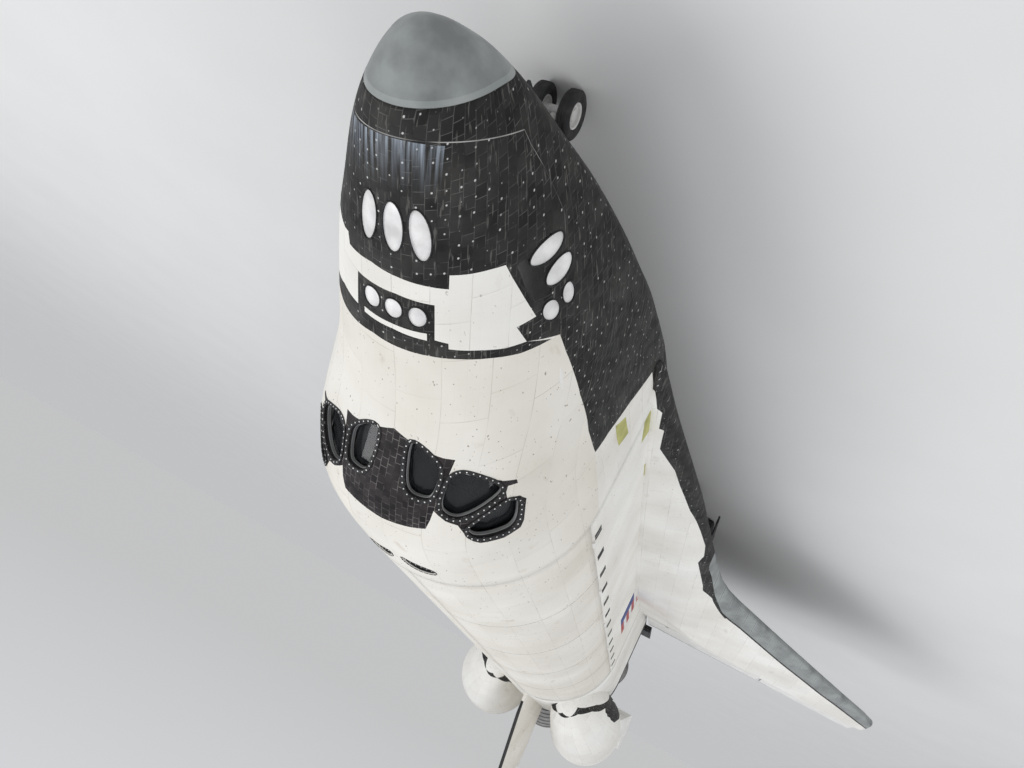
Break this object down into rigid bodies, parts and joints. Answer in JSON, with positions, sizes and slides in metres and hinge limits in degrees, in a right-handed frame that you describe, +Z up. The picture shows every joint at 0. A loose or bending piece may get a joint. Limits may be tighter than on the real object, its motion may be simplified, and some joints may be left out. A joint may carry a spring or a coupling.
{
  "type": "winged space orbiter",
  "caption": "Winged space orbiter parked on its wheels: blunt black-and-white tiled body, bay doors, delta wings, tall fin, engine bells and lowered landing gear.",
  "frame": {"origin": "on the ground below the middle of the parked orbiter's length and width", "axes": "+X towards the nose, +Y to port, +Z up; the body stands 3.5 degrees nose down on its gear"},
  "size_m": [36.5052, 23.7744, 17.2789],
  "materials": {
    "nose_carbon": "mottled grey carbon, matt",
    "black_tile": "small black tiles, satin",
    "white_tile": "small off-white tiles over black ones on the belly",
    "blanket": "quilted off-white felt",
    "bell_metal": "heat-tinted bright metal",
    "mechanism": "dark grey paint",
    "gear_white": "white gloss paint",
    "tyre": "plain black rubber",
    "window_glass": "dark clear panes",
    "cabin_grey": "matt grey paint",
    "seat_cloth": "blue-grey cloth"
  },
  "bodies": {
    "airframe": {"nose_cap": "nose_carbon", "thruster_module": "black_tile", "forward_fuselage_upper": "blanket", "forward_fuselage_lower": "white_tile", "windscreen": "window_glass", "overhead_windows": "window_glass", "flight_deck": "cabin_grey", "crew_seats": "seat_cloth", "mid_fuselage": "white_tile", "aft_fuselage": "white_tile", "fin": "blanket", "nose_gear_leg": "gear_white", "wing_port": "white_tile", "wing_edge_port": "nose_carbon", "oms_pod_port": "blanket", "nose_gear_door_port": "black_tile", "main_gear_leg_port": "gear_white", "main_gear_door_port": "black_tile", "wing_starboard": "white_tile", "wing_edge_starboard": "nose_carbon", "oms_pod_starboard": "blanket", "nose_gear_door_starboard": "black_tile", "main_gear_leg_starboard": "gear_white", "main_gear_door_starboard": "black_tile"},
    "crew_hatch": {"crew_hatch": "white_tile"},
    "bay_door_port": {"bay_door_port": "blanket"},
    "umbilical_door_port": {"umbilical_door_port": "black_tile"},
    "bay_door_starboard": {"bay_door_starboard": "blanket"},
    "umbilical_door_starboard": {"umbilical_door_starboard": "black_tile"},
    "elevon_inboard_port": {"elevon_inboard_port": "white_tile"},
    "elevon_inboard_starboard": {"elevon_inboard_starboard": "white_tile"},
    "elevon_outboard_port": {"elevon_outboard_port": "white_tile"},
    "elevon_outboard_starboard": {"elevon_outboard_starboard": "white_tile"},
    "body_flap": {"body_flap": "black_tile"},
    "rudder_post": {"rudder_post": "mechanism"},
    "speed_brake_port": {"speed_brake_port": "white_tile"},
    "speed_brake_starboard": {"speed_brake_starboard": "white_tile"},
    "gimbal_upper": {"gimbal_upper": "mechanism"},
    "engine_upper": {"engine_upper": "bell_metal"},
    "gimbal_lower_port": {"gimbal_lower_port": "mechanism"},
    "engine_lower_port": {"engine_lower_port": "bell_metal"},
    "gimbal_lower_starboard": {"gimbal_lower_starboard": "mechanism"},
    "engine_lower_starboard": {"engine_lower_starboard": "bell_metal"},
    "pod_gimbal_port": {"pod_gimbal_port": "mechanism"},
    "pod_engine_port": {"pod_engine_port": "bell_metal"},
    "pod_gimbal_starboard": {"pod_gimbal_starboard": "mechanism"},
    "pod_engine_starboard": {"pod_engine_starboard": "bell_metal"},
    "nose_gear_fork": {"nose_gear_fork": "gear_white"},
    "nose_wheels": {"nose_wheels": "gear_white", "nose_tyre_port": "tyre", "nose_tyre_starboard": "tyre"},
    "main_wheels_port": {"main_wheels_port": "gear_white", "main_tyre_outer_port": "tyre", "main_tyre_inner_port": "tyre"},
    "main_wheels_starboard": {"main_wheels_starboard": "gear_white", "main_tyre_outer_starboard": "tyre", "main_tyre_inner_starboard": "tyre"}
  },
  "joints": [
    {"name": "crew_hatch_hinge", "type": "hinge", "parent": "airframe", "child": "crew_hatch", "pos_m": [11.37349, 2.548, 3.38808], "axis": [-0.9981, 0, 0.061], "range_deg": [0, 90]},
    {"name": "bay_door_port_hinge", "type": "hinge", "parent": "airframe", "child": "bay_door_port", "pos_m": [0.40579, 2.625, 5.89031], "axis": [-0.9981, 0, 0.061], "range_deg": [0, 175.5]},
    {"name": "umbilical_door_port_hinge", "type": "hinge", "parent": "airframe", "child": "umbilical_door_port", "pos_m": [-10.07006, 1.18, 2.9203], "axis": [-0.9949, 0, 0.1009], "range_deg": [0, 150]},
    {"name": "bay_door_starboard_hinge", "type": "hinge", "parent": "airframe", "child": "bay_door_starboard", "pos_m": [0.40579, -2.625, 5.89031], "axis": [0.9981, 0, -0.061], "range_deg": [0, 175.5]},
    {"name": "umbilical_door_starboard_hinge", "type": "hinge", "parent": "airframe", "child": "umbilical_door_starboard", "pos_m": [-10.07006, -1.18, 2.9203], "axis": [0.9949, 0, -0.1009], "range_deg": [0, 150]},
    {"name": "elevon_inboard_port_hinge", "type": "hinge", "parent": "airframe", "child": "elevon_inboard_port", "pos_m": [-11.02793, 5.4102, 3.40708], "axis": [0.0029, 0.9989, 0.0477], "range_deg": [-20, 35]},
    {"name": "elevon_inboard_starboard_hinge", "type": "hinge", "parent": "airframe", "child": "elevon_inboard_starboard", "pos_m": [-11.02793, -5.4102, 3.40708], "axis": [-0.0029, 0.9989, -0.0477], "range_deg": [-20, 35]},
    {"name": "elevon_outboard_port_hinge", "type": "hinge", "parent": "airframe", "child": "elevon_outboard_port", "pos_m": [-11.01477, 9.9187, 3.62232], "axis": [0.0029, 0.9989, 0.0477], "range_deg": [-20, 35]},
    {"name": "elevon_outboard_starboard_hinge", "type": "hinge", "parent": "airframe", "child": "elevon_outboard_starboard", "pos_m": [-11.01477, -9.9187, 3.62232], "axis": [-0.0029, 0.9989, -0.0477], "range_deg": [-20, 35]},
    {"name": "body_flap_hinge", "type": "hinge", "parent": "airframe", "child": "body_flap", "pos_m": [-14.70539, 0, 3.61357], "axis": [0, 1, 0], "range_deg": [-22.5, 11.7]},
    {"name": "rudder_hinge", "type": "hinge", "parent": "airframe", "child": "rudder_post", "pos_m": [-15.35257, 0, 14.14974], "axis": [-0.5176, 0, 0.8556], "range_deg": [-27.1, 27.1]},
    {"name": "speed_brake_port_hinge", "type": "hinge", "parent": "rudder_post", "child": "speed_brake_port", "pos_m": [-15.35257, 0, 14.14974], "axis": [0.5176, 0, -0.8556], "range_deg": [0, 43.6]},
    {"name": "speed_brake_starboard_hinge", "type": "hinge", "parent": "rudder_post", "child": "speed_brake_starboard", "pos_m": [-15.35257, 0, 14.14974], "axis": [-0.5176, 0, 0.8556], "range_deg": [0, 43.6]},
    {"name": "gimbal_upper_pitch", "type": "hinge", "parent": "airframe", "child": "gimbal_upper", "pos_m": [-12.25943, 0, 7.42035], "axis": [0, 1, 0], "range_deg": [-10.5, 10.5]},
    {"name": "engine_upper_yaw", "type": "hinge", "parent": "gimbal_upper", "child": "engine_upper", "pos_m": [-12.25943, 0, 7.42035], "axis": [0.3338, 0, 0.9426], "range_deg": [-8.5, 8.5]},
    {"name": "gimbal_lower_port_pitch", "type": "hinge", "parent": "airframe", "child": "gimbal_lower_port", "pos_m": [-12.99895, 1.346, 4.91182], "axis": [0.0585, 0.9982, -0.0141], "range_deg": [-10.5, 10.5]},
    {"name": "engine_lower_port_yaw", "type": "hinge", "parent": "gimbal_lower_port", "child": "engine_lower_port", "pos_m": [-12.99895, 1.346, 4.91182], "axis": [0.2338, 0, 0.9723], "range_deg": [-8.5, 8.5]},
    {"name": "gimbal_lower_starboard_pitch", "type": "hinge", "parent": "airframe", "child": "gimbal_lower_starboard", "pos_m": [-12.99895, -1.346, 4.91182], "axis": [-0.0585, 0.9982, 0.0141], "range_deg": [-10.5, 10.5]},
    {"name": "engine_lower_starboard_yaw", "type": "hinge", "parent": "gimbal_lower_starboard", "child": "engine_lower_starboard", "pos_m": [-12.99895, -1.346, 4.91182], "axis": [0.2338, 0, 0.9723], "range_deg": [-8.5, 8.5]},
    {"name": "pod_gimbal_port_pitch", "type": "hinge", "parent": "airframe", "child": "pod_gimbal_port", "pos_m": [-14.03296, 2.235, 8.77615], "axis": [0.1027, 0.994, -0.0362], "range_deg": [-6, 6]},
    {"name": "pod_engine_port_yaw", "type": "hinge", "parent": "pod_gimbal_port", "child": "pod_engine_port", "pos_m": [-14.03296, 2.235, 8.77615], "axis": [0.3321, 0, 0.9432], "range_deg": [-7, 7]},
    {"name": "pod_gimbal_starboard_pitch", "type": "hinge", "parent": "airframe", "child": "pod_gimbal_starboard", "pos_m": [-14.03296, -2.235, 8.77615], "axis": [-0.1027, 0.994, 0.0362], "range_deg": [-6, 6]},
    {"name": "pod_engine_starboard_yaw", "type": "hinge", "parent": "pod_gimbal_starboard", "child": "pod_engine_starboard", "pos_m": [-14.03296, -2.235, 8.77615], "axis": [0.3321, 0, 0.9432], "range_deg": [-7, 7]},
    {"name": "nose_gear_steering", "type": "hinge", "parent": "airframe", "child": "nose_gear_fork", "pos_m": [14.53007, 0, 0.7785], "axis": [0.061, 0, 0.9981], "range_deg": [-10, 10]},
    {"name": "nose_wheels_spin", "type": "hinge", "parent": "nose_gear_fork", "child": "nose_wheels", "pos_m": [14.53734, 0, 0.406], "axis": [0, 1, 0], "continuous": true},
    {"name": "main_wheels_port_spin", "type": "hinge", "parent": "airframe", "child": "main_wheels_port", "pos_m": [-5.73076, 3.454, 0.565], "axis": [0, 1, 0], "continuous": true},
    {"name": "main_wheels_starboard_spin", "type": "hinge", "parent": "airframe", "child": "main_wheels_starboard", "pos_m": [-5.73076, -3.454, 0.565], "axis": [0, 1, 0], "continuous": true}
  ]
}
